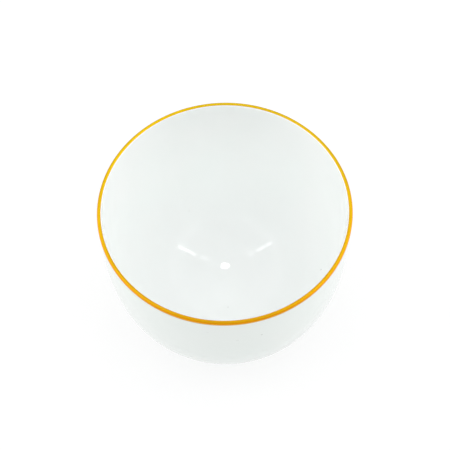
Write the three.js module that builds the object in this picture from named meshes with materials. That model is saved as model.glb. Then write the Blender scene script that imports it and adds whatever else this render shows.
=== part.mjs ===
// A deep porcelain serving bowl with a gilt line round the lip.
// Every piece is turned about the bowl's own axis, +Z. The origin is at the middle of the foot's
// bearing edge, so the bowl stands on z = 0. All sizes are in millimetres.

import * as THREE from 'three';

// Driving dimensions of the whole bowl.
const rimRadius = 90;
const overallHeight = 138;
const fullness = 3;

// Thickness of each layer.
const lipWall = 2.35;
const baseWall = 4;
const glazeThickness = 0.3;
const giltThickness = 0.2;

// The layers are fused on the real bowl. This hairline between them keeps each one a solid
// of its own.
const bond = 0.02;

// Foot ring. The join radii are where it meets the bowl, and the roof is the middle of the recess
// under the bowl. The cove is the hollow above the foot, and its middle point is given as shares
// of the way from the glaze line to the join, outwards and upwards.
const footJoinOuterRadius = 44.5;
const footJoinInnerRadius = 38.5;
const footOuterRadius = 42.8;
const footInnerRadius = 39.2;
const toeChamfer = 0.6;
const recessRoof = 6;
const glazeStopHeight = 1.8;
const coveOutShare = 0.35;
const coveUpShare = 0.6;

// How far the gilt line reaches: in degrees from the crown on the inner side of the lip,
// and below the middle of the rounded lip on the outer side.
const giltInnerTurn = 45;
const giltSkirt = 1.5;

// The two glazes meet at the crown of the lip, each this many degrees short of it.
const glazeMeeting = 1;

// How finely the pieces are faceted.
const turnSteps = 60;
const wallSteps = 11;
const footTopSteps = 2;
const recessSteps = 3;
const lipSteps = 6;
const outerCurveSteps = [1, wallSteps, footTopSteps, recessSteps];

// The lip is a half round, and the wall starts upright at its middle.
const lipMiddle = overallHeight - giltThickness - glazeThickness - lipWall / 2;
const outerRadius = rimRadius - giltThickness - glazeThickness;
const outerDepth = lipMiddle - recessRoof;
const innerRadius = outerRadius - lipWall;
const innerDepth = outerDepth - baseWall;
const lipCentreRadius = outerRadius - lipWall / 2;

// A full, deep curve: (radius / a)^n + (drop / b)^n = 1, with n the fullness.
function dropAt(radius, a, b) {
  return b * Math.cbrt(1 - (radius / a) ** fullness);
}

// The direction, from the middle of the lip plane, of the curve's point at this radius.
function directionAt(radius, a, b) {
  return Math.atan2(dropAt(radius, a, b), radius);
}

// The curve's point in a direction. Straight down is on the axis, at a radius of exactly 0.
function bowlPoint(a, b, direction) {
  const across = direction < Math.PI / 2 ? Math.cos(direction) : 0;
  const down = Math.sin(direction);
  const reach = ((across / a) ** fullness + (down / b) ** fullness) ** (-1 / fullness);
  return new THREE.Vector2(reach * across, lipMiddle - reach * down);
}

// Points of the curve between directions, with a number of steps for each stretch.
function bowlCurve(a, b, directions, steps) {
  const points = [bowlPoint(a, b, directions[0])];
  steps.forEach((count, stretch) => {
    for (let i = 1; i <= count; i += 1) {
      const direction = THREE.MathUtils.lerp(directions[stretch], directions[stretch + 1], i / count);
      points.push(bowlPoint(a, b, direction));
    }
  });
  return points;
}

// Points of the rounded lip, at a height over the clay, from one turn to another.
// A turn of 0 is the crown and 90 degrees is the outer side.
function lipArc(over, fromTurn, toTurn, steps) {
  const radius = lipWall / 2 + over;
  const points = [];
  for (let i = 0; i <= steps; i += 1) {
    const turn = THREE.MathUtils.degToRad(THREE.MathUtils.lerp(fromTurn, toTurn, i / steps));
    const across = radius * Math.sin(turn);
    const up = radius * Math.cos(turn);
    points.push(new THREE.Vector2(lipCentreRadius + across, lipMiddle + up));
  }
  return points;
}

// The outside of the bowl at a height over the clay: lip plane, end of the gilt line,
// foot's outer side, foot's inner side, and the axis.
function outsideCurve(over) {
  const a = outerRadius + over;
  const b = outerDepth + over;
  const directions = [
    0,
    Math.atan2(giltSkirt, a),
    directionAt(footJoinOuterRadius + over, a, b),
    directionAt(footJoinInnerRadius - over, a, b),
    Math.PI / 2,
  ];
  return bowlCurve(a, b, directions, outerCurveSteps);
}

// The inside of the bowl at a height over the clay, from the axis up to the lip plane.
function insideCurve(over) {
  const a = innerRadius - over;
  const b = innerDepth - over;
  return bowlCurve(a, b, [Math.PI / 2, 0], [wallSteps + footTopSteps + 1]);
}

const footOuterCount = 1 + wallSteps;
const footInnerCount = footOuterCount + footTopSteps;

// The foot's outer side runs down from the bowl in a shallow cove to the glaze line.
function footOuterSide(over) {
  const join = outsideCurve(over)[footOuterCount];
  const line = new THREE.Vector2(footOuterRadius + over, glazeStopHeight);
  const middle = new THREE.Vector2(
    THREE.MathUtils.lerp(line.x, join.x, coveOutShare),
    THREE.MathUtils.lerp(line.y, join.y, coveUpShare),
  );
  return [middle, line];
}

// The foot's inner side runs straight down from the recess to the glaze line.
function footInnerSide(over) {
  return [new THREE.Vector2(footInnerRadius - over, glazeStopHeight)];
}

function material(colour, roughness, metalness) {
  return new THREE.MeshStandardMaterial({ color: colour, roughness, metalness });
}

// A profile turned about the axis. Its faces point out when it runs anticlockwise.
// LatheGeometry turns about +Y, so +Y is laid on +Z.
function turned(name, profile, finish) {
  const anticlockwise = THREE.ShapeUtils.area(profile) > 0 ? profile : [...profile].reverse();
  const mesh = new THREE.Mesh(new THREE.LatheGeometry(anticlockwise, turnSteps), finish);
  mesh.name = name;
  mesh.rotation.x = Math.PI / 2;
  return mesh;
}

function closed(points) {
  return [...points, points[0].clone()];
}

// The porcelain wall and base, from the underside's middle up the outside and down the inside.
function bowlBody() {
  const outside = outsideCurve(0).reverse();
  const lip = lipArc(0, 90, -90, 2 * lipSteps).slice(1, -1);
  const inside = insideCurve(0).reverse();
  return turned('bowl_body', [...outside, ...lip, ...inside], material(0xf1f2ee, 0.5, 0));
}

// The foot ring, luted to the underside of the bowl. Its top follows the bowl's curve.
function footRing() {
  const top = outsideCurve(bond).slice(footOuterCount, footInnerCount + 1);
  const profile = [
    ...top.reverse(),
    ...footOuterSide(0),
    new THREE.Vector2(footOuterRadius, toeChamfer),
    new THREE.Vector2(footOuterRadius - toeChamfer, 0),
    new THREE.Vector2(footInnerRadius + toeChamfer, 0),
    new THREE.Vector2(footInnerRadius, toeChamfer),
    ...footInnerSide(0),
  ];
  return turned('foot_ring', closed(profile), material(0xe9e4d8, 0.75, 0));
}

// The glaze poured inside, from the floor up to the crown of the lip.
function innerGlaze() {
  const layer = (over) => [
    ...insideCurve(over),
    ...lipArc(over, -90, -glazeMeeting, lipSteps).slice(1),
  ];
  const profile = [...layer(bond), ...layer(glazeThickness).reverse()];
  return turned('inner_glaze', profile, material(0xeef3ef, 0.08, 0));
}

// The glaze on the outside, from the crown of the lip down to the glaze line on the foot.
function outerGlaze() {
  const layer = (over) => [
    ...lipArc(over, glazeMeeting, 90, lipSteps).slice(0, -1),
    ...outsideCurve(over).slice(0, footOuterCount + 1),
    ...footOuterSide(over),
  ];
  const profile = [...layer(bond), ...layer(glazeThickness).reverse()];
  return turned('outer_glaze', closed(profile), material(0xe8eeea, 0.08, 0));
}

// The glaze inside the foot, over the recess and down to the glaze line.
function baseGlaze() {
  const layer = (over) => [
    ...outsideCurve(over).slice(footInnerCount).reverse(),
    ...footInnerSide(over),
  ];
  const profile = [...layer(glazeThickness), ...layer(bond).reverse()];
  return turned('base_glaze', profile, material(0xe8eeea, 0.08, 0));
}

// The gilt line, fired over the glaze round the lip.
function rimGilt() {
  const innerSteps = Math.round((lipSteps * giltInnerTurn) / 90);
  const layer = (over) => [
    ...lipArc(over, -giltInnerTurn, 90, innerSteps + lipSteps).slice(0, -1),
    ...outsideCurve(over).slice(0, 2),
  ];
  const profile = [...layer(glazeThickness + bond), ...layer(glazeThickness + giltThickness).reverse()];
  return turned('rim_gilt', closed(profile), material(0xdda11c, 0.2, 0.3));
}

const bowl = new THREE.Group();
bowl.add(bowlBody(), footRing(), innerGlaze(), outerGlaze(), baseGlaze(), rimGilt());

export default bowl;
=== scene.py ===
"""A deep porcelain serving bowl, glazed inside and out, with a gilt line round its lip.

The sections follow the bowl as it is made: the turned wall, the foot ring luted under it, the three
coats of glaze, and the gilt line fired on last. The floor, the lamps and the camera come after them.
Every length is in metres, unless its name says otherwise.
"""

import bpy
import numpy as np
from mathutils import Matrix, Vector


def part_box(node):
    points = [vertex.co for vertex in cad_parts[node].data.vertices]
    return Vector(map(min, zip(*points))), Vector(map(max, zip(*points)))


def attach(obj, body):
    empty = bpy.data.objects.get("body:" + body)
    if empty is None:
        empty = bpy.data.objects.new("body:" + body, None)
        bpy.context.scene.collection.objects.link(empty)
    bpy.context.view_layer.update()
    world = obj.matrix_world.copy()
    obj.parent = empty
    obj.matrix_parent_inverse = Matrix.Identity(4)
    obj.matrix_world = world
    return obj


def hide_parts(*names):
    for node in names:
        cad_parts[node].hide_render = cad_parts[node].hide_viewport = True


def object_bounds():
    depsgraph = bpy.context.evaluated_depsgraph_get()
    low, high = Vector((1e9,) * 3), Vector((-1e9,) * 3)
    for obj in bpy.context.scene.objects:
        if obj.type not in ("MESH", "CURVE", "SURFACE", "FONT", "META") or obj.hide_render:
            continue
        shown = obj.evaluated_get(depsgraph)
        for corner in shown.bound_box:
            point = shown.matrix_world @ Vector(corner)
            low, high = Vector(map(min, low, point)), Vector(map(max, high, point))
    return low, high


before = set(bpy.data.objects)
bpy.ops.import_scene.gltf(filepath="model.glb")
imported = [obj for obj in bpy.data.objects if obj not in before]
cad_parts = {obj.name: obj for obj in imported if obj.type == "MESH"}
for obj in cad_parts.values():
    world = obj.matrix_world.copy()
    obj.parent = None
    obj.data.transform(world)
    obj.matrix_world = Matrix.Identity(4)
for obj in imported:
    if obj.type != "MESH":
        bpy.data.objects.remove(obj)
cad_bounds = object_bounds()


# ---------------------------------------------------------------------------------------------
# The wall and base. White hard-paste porcelain, turned on a wheel to a deep, full-bellied curve
# and thinned to a half-round lip. Glaze covers all of it.
# ---------------------------------------------------------------------------------------------

FULLNESS = 3
LIP_WALL = 0.00235
BASE_WALL = 0.004

# The steps in a whole turn, and the space between points along the wall and round the lip.
AROUND = 288
WALL_STEP = 0.002
LIP_STEP = 0.0004

# The two ends of the belly's curve, as angles below level, in radians: the lip and the axis.
LEVEL = 0.0
DOWN = np.pi / 2

PASTE = (0.82, 0.82, 0.78)
DARK_PASTE = (0.80, 0.80, 0.76)
LIGHT_PASTE = (0.85, 0.85, 0.82)
PASTE_GRAIN = 0.0006
PASTE_RELIEF = 0.00002

body_low, body_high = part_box("bowl_body")
wall_radius = body_high.x
lip_middle = body_high.z - LIP_WALL / 2
wall_depth = lip_middle - body_low.z
lip_centre = wall_radius - LIP_WALL / 2


def belly(radius, depth, start, end, count=400):
    """A full, deep curve about the middle of the lip plane, as (radius, height) points.

    (r / radius)^n + (drop / depth)^n = 1, with n the fullness, from one direction to another.
    A direction is the angle below level in radians, so pi / 2 is straight down the axis.
    """
    t = np.linspace(start, end, count)
    reach = ((np.cos(t) / radius) ** FULLNESS + (np.sin(t) / depth) ** FULLNESS) ** (-1 / FULLNESS)
    r = np.where(np.isclose(t, DOWN), 0.0, reach * np.cos(t))
    return np.stack([r, lip_middle - reach * np.sin(t)], axis=1)


def outside(over, start, end):
    """The outside of the clay, at a height over it, between two directions."""
    return belly(wall_radius + over, wall_depth + over, start, end)


def inside(over, start, end):
    """The inside of the clay, at a height over it, between two directions."""
    return belly(wall_radius - LIP_WALL - over, wall_depth - BASE_WALL - over, start, end)


def lip(over, start, end, count=60):
    """The half-round lip, at a height over the clay: an arc from one turn to another, in degrees.

    A turn of 0 is the crown, 90 the outer side and -90 the inner side.
    """
    turn = np.radians(np.linspace(start, end, count))
    size = LIP_WALL / 2 + over
    return np.stack([lip_centre + size * np.sin(turn), lip_middle + size * np.cos(turn)], axis=1)


def evenly(points, spacing):
    """The same curve through points evenly spaced along its length, with both ends kept."""
    along = np.concatenate([[0], np.cumsum(np.hypot(*np.diff(points, axis=0).T))])
    s = np.linspace(0, along[-1], int(round(along[-1] / spacing)) + 1)
    return np.stack([np.interp(s, along, points[:, k]) for k in (0, 1)], axis=1)


def joined(*curves):
    """Curves end to end as one, with each shared point kept once."""
    return np.concatenate([curves[0]] + [c[1:] if np.allclose(c[0], p[-1]) else c
                                         for p, c in zip(curves, curves[1:])])


def turned(name, profile):
    """A mesh object: a profile of (radius, height) points carried round the axis.

    profile has shape (points, 2), or (points, AROUND, 2) where it varies round the bowl. It runs
    anticlockwise, which turns the faces outwards. It closes on itself, or starts and ends on the
    axis, where each end becomes one pole. The UV map is (share of a turn, share of the profile).
    """
    count = len(profile)
    grid = profile[:, None, :] if profile.ndim == 2 else profile
    grid = np.broadcast_to(grid, (count, AROUND, 2))
    angle = np.linspace(0, 2 * np.pi, AROUND, endpoint=False)
    points = np.stack([grid[..., 0] * np.cos(angle), grid[..., 0] * np.sin(angle), grid[..., 1]], axis=2)
    points = points.reshape(-1, 3)
    on_axis = grid[0, 0, 0] == 0

    row = np.arange(count - 1 if on_axis else count)
    i, j = np.meshgrid(row, np.arange(AROUND), indexing="ij")
    i2, j2 = (i + 1) % count, (j + 1) % AROUND
    corners = np.stack([i * AROUND + j, i * AROUND + j2, i2 * AROUND + j2, i2 * AROUND + j], axis=-1)
    u = np.stack([j, j + 1, j + 1, j], axis=-1) / AROUND
    v = np.stack([i, i, i + 1, i + 1], axis=-1) / count
    corners, u, v = corners.reshape(-1, 4), u.reshape(-1, 4), v.reshape(-1, 4)

    # At a pole all of a row's corners are one, and a face that meets it has three corners.
    if on_axis:
        corners[corners < AROUND] = 0
        last = (count - 1) * AROUND
        corners[corners >= last] = last
    kept = np.ones_like(corners, dtype=bool)
    kept[:, 1] = corners[:, 1] != corners[:, 0]
    kept[:, 3] = corners[:, 3] != corners[:, 2]
    used, flat = np.unique(corners[kept], return_inverse=True)
    sides = kept.sum(axis=1)

    mesh = bpy.data.meshes.new(name)
    mesh.vertices.add(len(used))
    mesh.vertices.foreach_set("co", points[used].ravel())
    mesh.loops.add(len(flat))
    mesh.loops.foreach_set("vertex_index", flat.astype(np.int32))
    mesh.polygons.add(len(sides))
    starts = np.concatenate([[0], np.cumsum(sides)[:-1]])
    mesh.polygons.foreach_set("loop_start", starts.astype(np.int32))
    mesh.polygons.foreach_set("loop_total", sides.astype(np.int32))
    mesh.polygons.foreach_set("use_smooth", np.ones(len(sides), dtype=bool))
    chart = mesh.uv_layers.new(name="turn")
    chart.data.foreach_set("uv", np.stack([u[kept], v[kept]], axis=1).ravel())
    mesh.update(calc_edges=True)
    mesh.validate()
    piece = bpy.data.objects.new(name, mesh)
    bpy.context.scene.collection.objects.link(piece)
    return piece


def finish(name, colour, roughness):
    """A new material, plain before any pattern is added, as (material, node tree, shader)."""
    material = bpy.data.materials.new(name)
    material.use_nodes = True
    shader = material.node_tree.nodes["Principled BSDF"]
    shader.inputs["Base Color"].default_value = (*colour, 1)
    shader.inputs["Roughness"].default_value = roughness
    return material, material.node_tree, shader


def node(tree, kind, inputs, **settings):
    """A node with its settings and inputs. An input's value is a number, a vector or a socket."""
    made = tree.nodes.new("ShaderNode" + kind)
    for key, value in settings.items():
        setattr(made, key, value)
    for key, value in inputs.items():
        if isinstance(value, bpy.types.NodeSocket):
            tree.links.new(value, made.inputs[key])
        else:
            made.inputs[key].default_value = value
    return made


def place_on(tree):
    """The Object coordinates of the surface, in metres."""
    return node(tree, "TexCoord", {}).outputs["Object"]


def noise(tree, place, size, detail=3.0):
    """Soft noise from 0 to 1, whose patches are about size across."""
    return node(tree, "TexNoise", {"Vector": place, "Scale": 1 / size, "Detail": detail}).outputs["Fac"]


def blended(tree, share, first, second):
    """A colour between two, each a colour or a socket."""
    made = node(tree, "Mix", {}, data_type="RGBA")
    for socket, value in zip((made.inputs[0], made.inputs[6], made.inputs[7]), (share, first, second)):
        if isinstance(value, bpy.types.NodeSocket):
            tree.links.new(value, socket)
        else:
            socket.default_value = (*value, 1) if isinstance(value, tuple) else value
    return made.outputs[2]


def relief(tree, shader, height, depth, under=None):
    """A bump of this depth in metres on the shader, over another bump if there is one."""
    inputs = {"Height": height, "Distance": depth, "Strength": 1.0}
    if under is not None:
        inputs["Normal"] = under
    normal = node(tree, "Bump", inputs).outputs["Normal"]
    tree.links.new(normal, shader.inputs["Normal"])
    return normal


porcelain_wall = turned("porcelain_wall", joined(
    evenly(outside(0, DOWN, LEVEL), WALL_STEP),
    evenly(lip(0, 90, -90), LIP_STEP),
    evenly(inside(0, LEVEL, DOWN), WALL_STEP),
))

paste, tree, shader = finish("porcelain_paste", PASTE, 0.6)
grain = noise(tree, place_on(tree), PASTE_GRAIN)
tree.links.new(blended(tree, grain, DARK_PASTE, LIGHT_PASTE), shader.inputs["Base Color"])
relief(tree, shader, grain, PASTE_RELIEF)
porcelain_wall.data.materials.append(paste)

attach(porcelain_wall, "root")
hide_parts("bowl_body")


# ---------------------------------------------------------------------------------------------
# The foot ring. The same paste, luted under the wall with slip and turned true. Its bearing edge
# is wiped clean of glaze and ground flat, so it is matt, a little warm, rubbed grey in places, and
# toasted brown next to the glaze.
# ---------------------------------------------------------------------------------------------

COVE_RADIUS = 0.0475
RECESS_EDGE_RADIUS = 0.034
FOOT_OUTER = 0.0428
FOOT_INNER = 0.0392
TOE_ROUND = 0.0008
GLAZE_LINE = 0.0018

# How long the handles of the foot's curved sides are: upright at the bottom, and along the belly
# at the top of the cove and of the recess.
FOOT_PULL = 0.005
COVE_PULL = 0.004
RECESS_PULL = 0.0045

# The space between points on the foot's sides and its top.
FOOT_SIDE_STEP = 0.0005
FOOT_TOP_STEP = 0.001

BARE_CLAY = (0.76, 0.73, 0.66)
DARK_CLAY = (0.72, 0.69, 0.62)
LIGHT_CLAY = (0.82, 0.79, 0.72)
RUBBED_GREY = (0.42, 0.41, 0.39)
TOASTED_BROWN = (0.62, 0.42, 0.25)
CLAY_GRAIN = 0.0005
CLAY_MOTTLE = 0.006
CLAY_RELIEF = 0.00006

# How high the rubbed grey reaches, and where the toasted brown below the glaze starts.
RUBBED_TO = 0.0004
TOASTED_FROM = 0.0011

# The values that most of a noise lies between.
NOISE_RANGE = (0.3, 0.7)


def direction_at(r, over):
    """The direction of the outside's point at radius r, at a height over the clay."""
    drop = (wall_depth + over) * np.cbrt(1 - (r / (wall_radius + over)) ** FULLNESS)
    return np.arctan2(drop, r)


def bent(start, start_pull, end, end_pull, count=80):
    """A smooth curve between two points: a Bezier whose handles are the two pulls."""
    t = np.linspace(0, 1, count)[:, None]
    a, b, c, d = start, start + start_pull, end + end_pull, end
    return (1 - t) ** 3 * a + 3 * (1 - t) ** 2 * t * b + 3 * (1 - t) * t * t * c + t ** 3 * d


def meeting(r, over, hair=0.001):
    """The outside's point at radius r, and the unit vector from it along the curve to the axis.

    The vector points to where the curve has got to a hair further on, in radians.
    """
    direction = direction_at(r, over)
    here, nearer = outside(over, direction, direction + hair)[[0, -1]]
    return here, (nearer - here) / np.linalg.norm(nearer - here)


def cove(over, bottom):
    """The foot's outer side, from the bottom up through a hollow curve to the belly."""
    top, inwards = meeting(COVE_RADIUS + over, over)
    foot = np.array([FOOT_OUTER + over, bottom])
    return bent(foot, np.array([0, FOOT_PULL]), top, inwards * COVE_PULL)


def recess(over, bottom):
    """The foot's inner side, from the recess's edge down through a hollow curve to the bottom."""
    top, inwards = meeting(RECESS_EDGE_RADIUS, over)
    foot = np.array([FOOT_INNER - over, bottom])
    return bent(top, -inwards * RECESS_PULL, foot, np.array([0, FOOT_PULL]))


def toe(centre, start, end, count=10):
    """A rounded edge of the foot: an arc about a centre, from one angle to another, in degrees."""
    turn = np.radians(np.linspace(start, end, count))
    return np.stack([centre + TOE_ROUND * np.cos(turn), TOE_ROUND + TOE_ROUND * np.sin(turn)], axis=1)


def spread(tree, value, low, high, to_low=0, to_high=1):
    """A value between low and high, spread over to_low to to_high and held there."""
    made = node(tree, "MapRange", {"Value": value, "From Min": low, "From Max": high,
                                   "To Min": to_low, "To Max": to_high})
    return made.outputs["Result"]


def times(tree, first, second):
    """The product of two, each a number or a socket."""
    return node(tree, "Math", {0: first, 1: second}, operation="MULTIPLY").outputs[0]


def axes_of(tree, vector):
    """The X, Y and Z of a vector."""
    return node(tree, "SeparateXYZ", {"Vector": vector}).outputs


bearing_foot = turned("bearing_foot", joined(
    toe(FOOT_INNER + TOE_ROUND, 180, 270),
    toe(FOOT_OUTER - TOE_ROUND, 270, 360),
    evenly(cove(0, GLAZE_LINE), FOOT_SIDE_STEP),
    evenly(outside(0, direction_at(COVE_RADIUS, 0), direction_at(RECESS_EDGE_RADIUS, 0)), FOOT_TOP_STEP),
    evenly(recess(0, GLAZE_LINE), FOOT_SIDE_STEP),
))

bare, tree, shader = finish("bare_porcelain", BARE_CLAY, 0.75)
place = place_on(tree)
height = axes_of(tree, place)["Z"]
grain = noise(tree, place, CLAY_GRAIN, detail=5.0)
mottle = noise(tree, place, CLAY_MOTTLE)
clay = blended(tree, spread(tree, grain, *NOISE_RANGE), DARK_CLAY, LIGHT_CLAY)
rubbed = times(tree, spread(tree, mottle, 0.52, 0.7, 0, 0.6), spread(tree, height, 0, RUBBED_TO, 1, 0))
clay = blended(tree, rubbed, clay, RUBBED_GREY)
toasted = times(tree, spread(tree, height, TOASTED_FROM, GLAZE_LINE, 0, 0.55),
                spread(tree, mottle, *NOISE_RANGE, 0.4, 1))
clay = blended(tree, toasted, clay, TOASTED_BROWN)
tree.links.new(clay, shader.inputs["Base Color"])
tree.links.new(spread(tree, rubbed, 0, 0.6, 0.8, 0.45), shader.inputs["Roughness"])
relief(tree, shader, grain, CLAY_RELIEF)
bearing_foot.data.materials.append(bare)

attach(bearing_foot, "root")
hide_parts("foot_ring")


# ---------------------------------------------------------------------------------------------
# The glaze inside. A clear, faintly cool glassy coat, poured in and swirled, from the floor to
# the crown of the lip. The jigger's fine rings show through it round the edge of the floor.
# ---------------------------------------------------------------------------------------------

# The coat's thickness, and the gap that is left under it.
GLAZE = 0.0003
HAIRLINE = 0.00002

# The space between points on a coat's face, on its face round the lip, and on its hidden side.
FACE_STEP = 0.0014
LIP_FACE_STEP = 0.0003
HIDDEN_STEP = 0.003

# What a thin, a thick and a pooled coat do to the tint, and the heights between which the pooling
# fades out.
THIN_COAT = (1.008, 1.002, 1.0)
THICK_COAT = (0.985, 0.997, 0.992)
POOLED_COAT = (1.002, 1.0, 1.006)
POOL_FADES = (0.012, 0.060)
DRIFT_SIZE = 0.05

# The pinholes' spacing, their edge as shares of it, and which of 0 to 1 are rare enough to show.
PINHOLE_SPACING = 0.011
PINHOLE_EDGE = (0.010, 0.020)
PINHOLES_SHOWN = (0.80, 0.81)
PINHOLE_GREY = (0.35, 0.34, 0.30)
IRON_BROWN = (0.16, 0.15, 0.13)

WAVE_SIZE = 0.022
WAVE_DEPTH = 0.00002

# The rings' pitch and depth, and the distances from the axis where they fade in and out.
RING_PITCH = 0.0016
RING_DEPTH = 0.0000006
RINGS_FADE_IN = (0.036, 0.044)
RINGS_FADE_OUT = (0.056, 0.066)

# The inside's tint is lighter than the same glaze outside and under the foot: painted light for the
# bowl's bright inside.
INNER_TINT_PAINTED_LIGHT = (0.896, 0.914, 0.906)

# Iron specks: how far round in degrees, how high, how large a radius, and how dark.
INNER_SPECKS = (
    (115, 0.0321, 0.0010, 0.05),
    (0, 0.0409, 0.0007, 0.50),
    (-88, 0.0105, 0.0010, 0.10),
)


def on_glaze(curve, turn, height):
    """The point of the coat's face at a turn round the bowl, in degrees, and a height."""
    points = curve(GLAZE, LEVEL, DOWN)
    r = np.interp(height, points[::-1, 1], points[::-1, 0])
    turn = np.radians(turn)
    return Vector((r * np.cos(turn), r * np.sin(turn), height))


def specked(tree, place, colour, curve, specks):
    """The colour with iron specks, each even to half its radius and faded out at its radius."""
    for turn, height, radius, dark in specks:
        centre = on_glaze(curve, turn, height)
        away = node(tree, "VectorMath", {0: place, 1: centre}, operation="DISTANCE").outputs["Value"]
        colour = blended(tree, spread(tree, away, radius / 2, radius, dark, 0), colour, IRON_BROWN)
    return colour


def glaze_finish(name, tint, curve, specks, ringed=False):
    """Clear glossy glaze over white paste, on one side of the clay's curve.

    Its thickness drifts, which cools and warms the white by a hair, and it is a hair bluer where
    it pools low down. It has a dust of pinholes, and a few iron specks have burnt through. Its
    skin is drawn into long low waves. ringed adds the jigger's rings, fine sine waves of the
    distance from the axis, where the floor turns up into the wall.
    """
    material, tree, shader = finish(name, tint, 0.03)
    shader.inputs["IOR"].default_value = 1.5
    place = place_on(tree)
    thin, thick, pooled = (tuple(c * k for c, k in zip(tint, coat))
                           for coat in (THIN_COAT, THICK_COAT, POOLED_COAT))
    drift = spread(tree, noise(tree, place, DRIFT_SIZE, detail=2.0), *NOISE_RANGE)
    colour = blended(tree, drift, thin, thick)
    low_down = spread(tree, axes_of(tree, place)["Z"], *POOL_FADES, 0.8, 0)
    colour = blended(tree, low_down, colour, pooled)
    dust = node(tree, "TexVoronoi", {"Vector": place, "Scale": 1 / PINHOLE_SPACING})
    rare = node(tree, "SeparateColor", {"Color": dust.outputs["Color"]}).outputs["Red"]
    pinholes = times(tree, spread(tree, dust.outputs["Distance"], *PINHOLE_EDGE, 1, 0),
                     spread(tree, rare, *PINHOLES_SHOWN, 0, 0.35))
    colour = blended(tree, pinholes, colour, PINHOLE_GREY)
    tree.links.new(specked(tree, place, colour, curve, specks), shader.inputs["Base Color"])
    waves = relief(tree, shader, noise(tree, place, WAVE_SIZE, detail=0.0), WAVE_DEPTH)
    if ringed:
        flat = node(tree, "VectorMath", {0: place, 1: (1, 1, 0)}, operation="MULTIPLY").outputs[0]
        away = node(tree, "VectorMath", {0: flat}, operation="LENGTH").outputs["Value"]
        phase = times(tree, away, 2 * np.pi / RING_PITCH)
        ring = node(tree, "Math", {0: phase}, operation="SINE").outputs[0]
        band = times(tree, spread(tree, away, *RINGS_FADE_IN), spread(tree, away, *RINGS_FADE_OUT, 1, 0))
        relief(tree, shader, times(tree, ring, band), RING_DEPTH, under=waves)
    return material


glaze_inside = turned("glaze_inside", joined(
    evenly(inside(HAIRLINE, DOWN, LEVEL), HIDDEN_STEP),
    evenly(lip(HAIRLINE, -90, 0), LIP_STEP),
    evenly(lip(GLAZE, 0, -90), LIP_FACE_STEP),
    evenly(inside(GLAZE, LEVEL, DOWN), FACE_STEP),
))
# The inside's coat takes the lighter tint, which is painted light.
glaze_inside.data.materials.append(
    glaze_finish("white_glaze_inside_painted_light", INNER_TINT_PAINTED_LIGHT, inside, INNER_SPECKS, ringed=True))

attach(glaze_inside, "root")
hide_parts("inner_glaze")


# ---------------------------------------------------------------------------------------------
# The glaze outside. The bowl is dipped upside down to the foot. The coat softens the corner over
# the foot, where it pools, and ends above the bearing edge in a rounded, slightly uneven bead.
# ---------------------------------------------------------------------------------------------

# How far the bead swells sideways and sways up and down, and how far above the end that reaches.
BEAD = 0.0001
BEAD_SWAY = 0.00022
BEAD_REACH = 0.0016

# The space between points on the hidden side of a coat down the foot.
FOOT_HIDDEN_STEP = 0.001

# The outside's tint is darker than the same glaze inside and under the foot: painted shade on the outer
# wall.
OUTER_TINT_PAINTED_SHADE = (0.756, 0.800, 0.777)
OUTER_SPECKS = (
    (-75, 0.1124, 0.0009, 0.32),
    (-99, 0.1226, 0.0012, 0.06),
    (-86, 0.1099, 0.0014, 0.08),
    (-46, 0.0831, 0.0009, 0.30),
)


def sway(seed, waves=(2, 3, 5, 9), fall=0.7):
    """An uneven hand line round the bowl, from about -1 to 1.

    It is a sum of sines that close on a turn. Each goes w times round, starts at a random angle
    and has a height of 1 / w^fall, and the sum is divided by the total of their heights.
    """
    draw = np.random.default_rng(seed)
    angle = np.linspace(0, 2 * np.pi, AROUND, endpoint=False)
    parts = [np.sin(w * angle + draw.uniform(0, 2 * np.pi)) / w ** fall for w in waves]
    return np.sum(parts, axis=0) / sum(1 / w ** fall for w in waves)


def bead_end(inner, outer, height, count=9):
    """The rounded end of a coat between two radii: a half circle that hangs below a height."""
    turn = np.linspace(np.pi, 2 * np.pi, count)
    size = abs(outer - inner) / 2
    return np.stack([(inner + outer) / 2 + size * np.cos(turn), height + size * np.sin(turn)], axis=1)


def swelled(profile, side, edge):
    """A coat's profile with its end swelled to one side and its edge swaying up and down.

    The swelling and the sway fade out over BEAD_REACH above the end, by a smooth step.
    """
    near = np.clip((GLAZE_LINE + BEAD_REACH - profile[:, 1]) / BEAD_REACH, 0, 1)
    near = near * near * (3 - 2 * near)
    grid = np.repeat(profile[:, None, :], AROUND, axis=1)
    grid[..., 0] += side * BEAD * near[:, None]
    grid[..., 1] += BEAD_SWAY * near[:, None] * edge
    return grid


outer_profile = joined(
    bead_end(FOOT_OUTER + HAIRLINE, FOOT_OUTER + GLAZE, GLAZE_LINE),
    evenly(cove(GLAZE, GLAZE_LINE), FOOT_SIDE_STEP),
    evenly(outside(GLAZE, direction_at(COVE_RADIUS + GLAZE, GLAZE), LEVEL), FACE_STEP),
    evenly(lip(GLAZE, 90, 0), LIP_FACE_STEP),
    evenly(lip(HAIRLINE, 0, 90), LIP_STEP),
    evenly(outside(HAIRLINE, LEVEL, direction_at(COVE_RADIUS + HAIRLINE, HAIRLINE)), HIDDEN_STEP),
    evenly(cove(HAIRLINE, GLAZE_LINE)[::-1], FOOT_HIDDEN_STEP)[:-1],
)
glaze_outside = turned("glaze_outside", swelled(outer_profile, 1, sway(3)))
# The outside's coat takes the darker tint, which is painted shade.
glaze_outside.data.materials.append(
    glaze_finish("white_glaze_outside_painted_shade", OUTER_TINT_PAINTED_SHADE, outside, OUTER_SPECKS))

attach(glaze_outside, "root")
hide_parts("outer_glaze")


# ---------------------------------------------------------------------------------------------
# The glaze under the foot. The same coat in the recess, cut off from the rest when the bearing
# edge is wiped. It pools in the corner and ends in the same bead.
# ---------------------------------------------------------------------------------------------

# The space between points on the coat's face, over the recess and down the foot.
RECESS_FACE_STEP = 0.001
RECESS_SIDE_STEP = 0.0004

FOOT_TINT = (0.845, 0.880, 0.857)
FOOT_SPECKS = (
    (40, 0.0066, 0.0006, 0.60),
    (205, 0.0075, 0.0005, 0.50),
)

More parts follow.
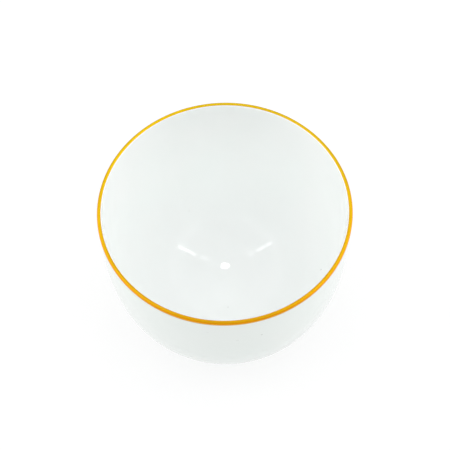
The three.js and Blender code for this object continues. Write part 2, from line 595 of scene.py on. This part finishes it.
base_profile = joined(
    evenly(outside(GLAZE, DOWN, direction_at(RECESS_EDGE_RADIUS, GLAZE)), RECESS_FACE_STEP),
    evenly(recess(GLAZE, GLAZE_LINE), RECESS_SIDE_STEP),
    bead_end(FOOT_INNER - GLAZE, FOOT_INNER - HAIRLINE, GLAZE_LINE),
    evenly(recess(HAIRLINE, GLAZE_LINE)[::-1], FOOT_HIDDEN_STEP),
    evenly(outside(HAIRLINE, direction_at(RECESS_EDGE_RADIUS, HAIRLINE), DOWN), WALL_STEP),
)
glaze_in_foot = turned("glaze_in_foot", swelled(base_profile, -1, sway(8)))
glaze_in_foot.data.materials.append(
    glaze_finish("white_glaze_in_foot", FOOT_TINT, outside, FOOT_SPECKS))

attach(glaze_in_foot, "root")
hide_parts("base_glaze")


# ---------------------------------------------------------------------------------------------
# The gilt line. Ochre-gold enamel, drawn with a brush round the lip while the bowl turns, and
# fired on over the glaze. It stands a little proud, its edges waver, and it is deeper in colour on
# the outer side and at the front of the crown. It is paler at the back of the crown, where the
# paler gold is a painted highlight.

GILT = 0.0002
GILT_INNER_TURN = 45
GILT_SKIRT = 0.0015
SUNK = 0.00005
EDGE_WAVER = 0.00007

# The space between points on the skirt and round the lip.
SKIRT_STEP = 0.0002
GILT_LIP_STEP = 0.00015

# The brush streaks in the line's shape: their height as a share of its thickness, and how fast
# they follow each other across it. The line is lowered by half that height to make room for them.
STREAK_RISE = 0.12
STREAK_RATE = 9

# The marks in its colour: the brush's, by how many go to a metre along X, Y and Z, with their
# relief, and the size of the patches on the skirt.
BRUSH_MARKS = (40, 40, 1400)
BRUSH_RELIEF = 0.00001
GILT_PATCHES = 0.004

# Each colour is a dark and a light one, and the hem is the darker colour along the bottom edge of
# the outer side. The back's paler gold is a painted highlight.
PLAIN_GILT = (0.80, 0.42, 0.001)
SKIRT_OCHRE = ((0.90, 0.285, 0.0002), (0.97, 0.320, 0.0003))
FRONT_GOLD = ((0.575, 0.280, 0.0002), (0.625, 0.312, 0.0003))
BACK_GOLD_AND_HIGHLIGHT = ((0.61, 0.398, 0.0005), (0.67, 0.440, 0.0008))
HEM_OCHRE = (0.60, 0.330, 0.0002)

# Where one colour gives way to the next: heights over the middle of the lip, and places along Y.
CROWN_STARTS = (0.0004, 0.0015)
HEM_ENDS = (-0.0003, 0.0007)
FRONT_TO_BACK = (-0.085, 0.045)

gilt_path = joined(
    evenly(outside(0, np.arctan2(GILT_SKIRT, wall_radius), LEVEL), SKIRT_STEP),
    evenly(lip(0, 90, -GILT_INNER_TURN), GILT_LIP_STEP),
)


def gilt_line():
    """The line's profile all round the bowl, as (points, AROUND, 2).

    It follows the clay's path across the lip, pushed out along the path's normal. The share v
    along it runs from -1 at the outer edge to 1 at the inner one, and the height over the glaze
    is the full thickness times (1 - v^6). Brush streaks are added along v, and each edge slides
    along the path by its own waver.
    """
    along = np.gradient(gilt_path, axis=0)
    along /= np.linalg.norm(along, axis=1)[:, None]
    normal = np.stack([along[:, 1], -along[:, 0]], axis=1)
    v = np.linspace(-1, 1, len(gilt_path))
    full = (1 - v ** 6)[:, None]
    streaks = STREAK_RISE * np.sin(v * STREAK_RATE)[:, None] * sway(21) * full
    height = GLAZE + GILT * np.clip(full + streaks - STREAK_RISE / 2, 0, 1)
    shift = EDGE_WAVER * (np.clip(-v, 0, 1)[:, None] * sway(5) + np.clip(v, 0, 1)[:, None] * sway(6))
    slid = along[:, None] * shift[..., None]
    face = gilt_path[:, None] + normal[:, None] * height[..., None] + slid
    under = gilt_path[:, None] + normal[:, None] * (GLAZE - SUNK) + slid
    return np.concatenate([face, under[::-1]])


rim_line = turned("rim_line", gilt_line())

gilt, tree, shader = finish("ochre_gilt", PLAIN_GILT, 0.38)
shader.inputs["Metallic"].default_value = 0.7
shader.inputs["Specular IOR Level"].default_value = 0.15
shader.inputs["Coat Weight"].default_value = 0.03
shader.inputs["Coat Roughness"].default_value = 0.06
place = place_on(tree)
drawn = node(tree, "VectorMath", {0: place, 1: BRUSH_MARKS}, operation="MULTIPLY").outputs[0]
streak = noise(tree, drawn, 1.0)
brushed = spread(tree, streak, *NOISE_RANGE)
patchy = spread(tree, noise(tree, place, GILT_PATCHES), *NOISE_RANGE)
axes = axes_of(tree, place)
crown = spread(tree, axes["Z"], *(lip_middle + np.array(CROWN_STARTS)))
hem = spread(tree, axes["Z"], *(lip_middle + np.array(HEM_ENDS)))
skirt_colour = blended(tree, hem, HEM_OCHRE, blended(tree, patchy, *SKIRT_OCHRE))
# The crown runs from the front's gold to the back's paler gold, which is a painted highlight.
crown_colour = blended(tree, spread(tree, axes["Y"], *FRONT_TO_BACK),
                       blended(tree, brushed, *FRONT_GOLD), blended(tree, brushed, *BACK_GOLD_AND_HIGHLIGHT))
tree.links.new(blended(tree, crown, skirt_colour, crown_colour), shader.inputs["Base Color"])
tree.links.new(spread(tree, streak, *NOISE_RANGE, 0.30, 0.42), shader.inputs["Roughness"])
relief(tree, shader, streak, BRUSH_RELIEF)
rim_line.data.materials.append(gilt)

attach(rim_line, "root")
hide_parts("rim_gilt")


# ---------------------------------------------------------------------------------------------
# The floor. A wide sheet of white paper under the bowl, lit from within so that it stays white
# all the way out.
# ---------------------------------------------------------------------------------------------

FLOOR_HALF = 3.0
FLOOR_GLOW = 0.66
PAPER = (0.30, 0.30, 0.30)

sheet = bpy.data.meshes.new("floor")
sheet.from_pydata([(x * FLOOR_HALF, y * FLOOR_HALF, 0) for x, y in ((-1, -1), (1, -1), (1, 1), (-1, 1))],
                  [], [(0, 1, 2, 3)])
floor = bpy.data.objects.new("floor", sheet)
bpy.context.scene.collection.objects.link(floor)
paper, tree, shader = finish("white_paper", PAPER, 0.9)
shader.inputs["Specular IOR Level"].default_value = 0.0
shader.inputs["Emission Color"].default_value = (1, 1, 1, 1)
shader.inputs["Emission Strength"].default_value = FLOOR_GLOW
floor.data.materials.append(paper)


# ---------------------------------------------------------------------------------------------
# The lamps. A white tent gives nearly all of the light. It is brightest at its sides, dimmer at
# the top and dark low down at the front and back. A small round lamp hangs over the back of the
# bowl with a faint panel beyond it, and a row of tubes with a faint tail runs up each side.
# ---------------------------------------------------------------------------------------------

# The tent's brightness in each of its zones, as a multiple of white paper's.
TENT_STRENGTH = 1.03
TENT_LOW = 1.05
TENT_HIGH = 1.66
TENT_SIDE = 2.00
TENT_END = 0.22
TENT_TOP = 0.98
TENT_PATCH = 0.96
TENT_BEHIND = 1.00

# Where each zone gives way to the next: by how far up, to the side or to an end a direction points.
WALLS_BRIGHTEN = (0.25, 0.60)
SIDES_BEGIN = (0.2, 0.6)
SIDES_SHARE = 0.55
ENDS_STOP = (0.32, 0.60)
ENDS_BEGIN = (0.42, 0.72)
TOP_BEGINS = (0.66, 0.92)

# The patch over the front: the direction of its middle, how far from there it fades out, and the
# squeeze of directions that makes it wider than it is high.
PATCH_MIDDLE = (0, -0.48, 0.877)
PATCH_FADES = (0.22, 0.32)
PATCH_SQUEEZE = (0.55, 1, 1)


def grey(value):
    """A neutral colour."""
    return (value, value, value)


world = bpy.data.worlds.new("tent")
bpy.context.scene.world = world
world.use_nodes = True
tree = world.node_tree
background = tree.nodes["Background"]
toward = node(tree, "TexCoord", {}).outputs["Generated"]
facing = axes_of(tree, toward)
sideways = node(tree, "Math", {0: facing["X"]}, operation="ABSOLUTE").outputs[0]
endways = node(tree, "Math", {0: facing["Y"]}, operation="ABSOLUTE").outputs[0]

# The walls grow brighter upwards and to the sides, and are dark where they are both low and at
# an end.
tent = blended(tree, spread(tree, facing["Z"], *WALLS_BRIGHTEN), grey(TENT_LOW), grey(TENT_HIGH))
tent = blended(tree, spread(tree, sideways, *SIDES_BEGIN, 0, SIDES_SHARE), tent, grey(TENT_SIDE))
high_up = spread(tree, facing["Z"], *ENDS_STOP)
off_the_ends = spread(tree, endways, *ENDS_BEGIN, 1, 0)
lit = node(tree, "Math", {0: high_up, 1: off_the_ends}, operation="MAXIMUM").outputs[0]
tent = blended(tree, lit, grey(TENT_END), tent)

# The top, the patch over the front, and the plain white that shows behind the floor.
tent = blended(tree, spread(tree, facing["Z"], *TOP_BEGINS), tent, grey(TENT_TOP))
squeezed = node(tree, "VectorMath", {0: toward, 1: PATCH_SQUEEZE}, operation="MULTIPLY").outputs[0]
away = node(tree, "VectorMath", {0: squeezed, 1: PATCH_MIDDLE}, operation="DISTANCE").outputs["Value"]
tent = blended(tree, spread(tree, away, *PATCH_FADES), grey(TENT_PATCH), tent)
seen_directly = node(tree, "LightPath", {}).outputs["Is Camera Ray"]
tent = blended(tree, seen_directly, tent, grey(TENT_BEHIND))
tree.links.new(tent, background.inputs["Color"])
background.inputs["Strength"].default_value = TENT_STRENGTH

# Every lamp faces a point at the height of the bowl's floor, a little behind its middle.
aim = Vector((0, 0.03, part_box("inner_glaze")[0].z))


def lamp(name, shape, direction, distance, across, along, brightness, upright=(0, 0, 1)):
    """A flat lamp that faces the aim from a direction, of a shape and size, at a brightness.

    brightness is its radiance, as a multiple of white paper under the tent: watts are brightness
    times pi times the area.
    """
    light = bpy.data.lights.new(name, "AREA")
    light.shape = shape
    light.size, light.size_y = across, along
    area = across * along * (np.pi / 4 if shape == "ELLIPSE" else 1)
    light.energy = brightness * np.pi * area
    made = bpy.data.objects.new(name, light)
    bpy.context.scene.collection.objects.link(made)
    out = Vector(direction).normalized()
    side = Vector(upright).cross(out).normalized()
    turn = Matrix((side, out.cross(side), out)).transposed().to_4x4()
    made.matrix_world = Matrix.Translation(aim + out * distance) @ turn


def tube_row(name, first, last, count, gap, width, brightness):
    """A row of short tubes along a straight line between two directions, a metre away.

    gap is the share of each tube's room in the row that is left dark.
    """
    first, last = Vector(first).normalized(), Vector(last).normalized()
    pitch = (last - first).length / count
    for k in range(count):
        middle = first.lerp(last, (k + 0.5) / count)
        lamp(f"{name}_{k + 1}", "RECTANGLE", middle, middle.length, width, pitch * (1 - gap),
             brightness, upright=last - first)


lamp("round_lamp", "ELLIPSE", (0.004, 0.291, 0.957), 1.2, 0.050, 0.088, 19.0)
lamp("round_panel", "ELLIPSE", (0.005, 0.452, 0.892), 1.3, 0.060, 0.060, 0.60)
tube_row("right_tube", (0.622, -0.184, 0.762), (0.45, -0.07, 0.89), 4, 0.55, 0.052, 14.0)
tube_row("right_inner_tube", (0.45, -0.07, 0.89), (0.288, 0.040, 0.957), 1, 0.0, 0.040, 4.5)
tube_row("right_tail", (0.23, 0.080, 0.97), (0.12, 0.180, 0.98), 2, 0.2, 0.050, 2.1)
tube_row("left_tube", (-0.605, -0.197, 0.771), (-0.46, -0.105, 0.88), 4, 0.5, 0.046, 7.0)
tube_row("left_inner_tube", (-0.46, -0.105, 0.88), (-0.318, -0.008, 0.947), 1, 0.0, 0.040, 4.2)
tube_row("left_tail", (-0.27, 0.008, 0.96), (-0.17, 0.036, 0.985), 2, 0.2, 0.040, 3.0)
tube_row("left_lower_tail", (-0.27, 0.045, 0.96), (-0.19, 0.105, 0.975), 2, 0.2, 0.032, 3.0)


# ---------------------------------------------------------------------------------------------
# The camera. It looks down into the bowl from the front, rolled a little, through a long lens.
# ---------------------------------------------------------------------------------------------

LENS_MM = 120
SENSOR_MM = 36
FARTHEST = 50
ELEVATION = np.radians(60.62)
ROLL = np.radians(-1.57)

# Where it stands from the middle of the rim, in rim radii: back, to the right and up.
AWAY_RADII = 11.71
ASIDE_RADII = -0.001
RAISED_RADII = -0.131

rim_radius = cad_bounds[1][0]
rim_middle = Vector((0, 0, cad_bounds[1][2]))
back = Vector((0, -np.cos(ELEVATION), np.sin(ELEVATION)))
right = Vector((1, 0, 0))
up = Vector((0, np.sin(ELEVATION), np.cos(ELEVATION)))
camera_right = right * np.cos(ROLL) + up * np.sin(ROLL)
camera_up = up * np.cos(ROLL) - right * np.sin(ROLL)
stand = rim_middle + (back * AWAY_RADII + right * ASIDE_RADII + up * RAISED_RADII) * rim_radius

lens = bpy.data.cameras.new("camera")
lens.sensor_width = SENSOR_MM
lens.lens = LENS_MM
lens.clip_end = FARTHEST
camera = bpy.data.objects.new("camera", lens)
bpy.context.scene.collection.objects.link(camera)
camera.matrix_world = (Matrix.Translation(stand)
                       @ Matrix((camera_right, camera_up, back)).transposed().to_4x4())
bpy.context.scene.camera = camera
bpy.context.scene.view_settings.view_transform = "Standard"
bpy.context.scene.cycles.glossy_bounces = 12
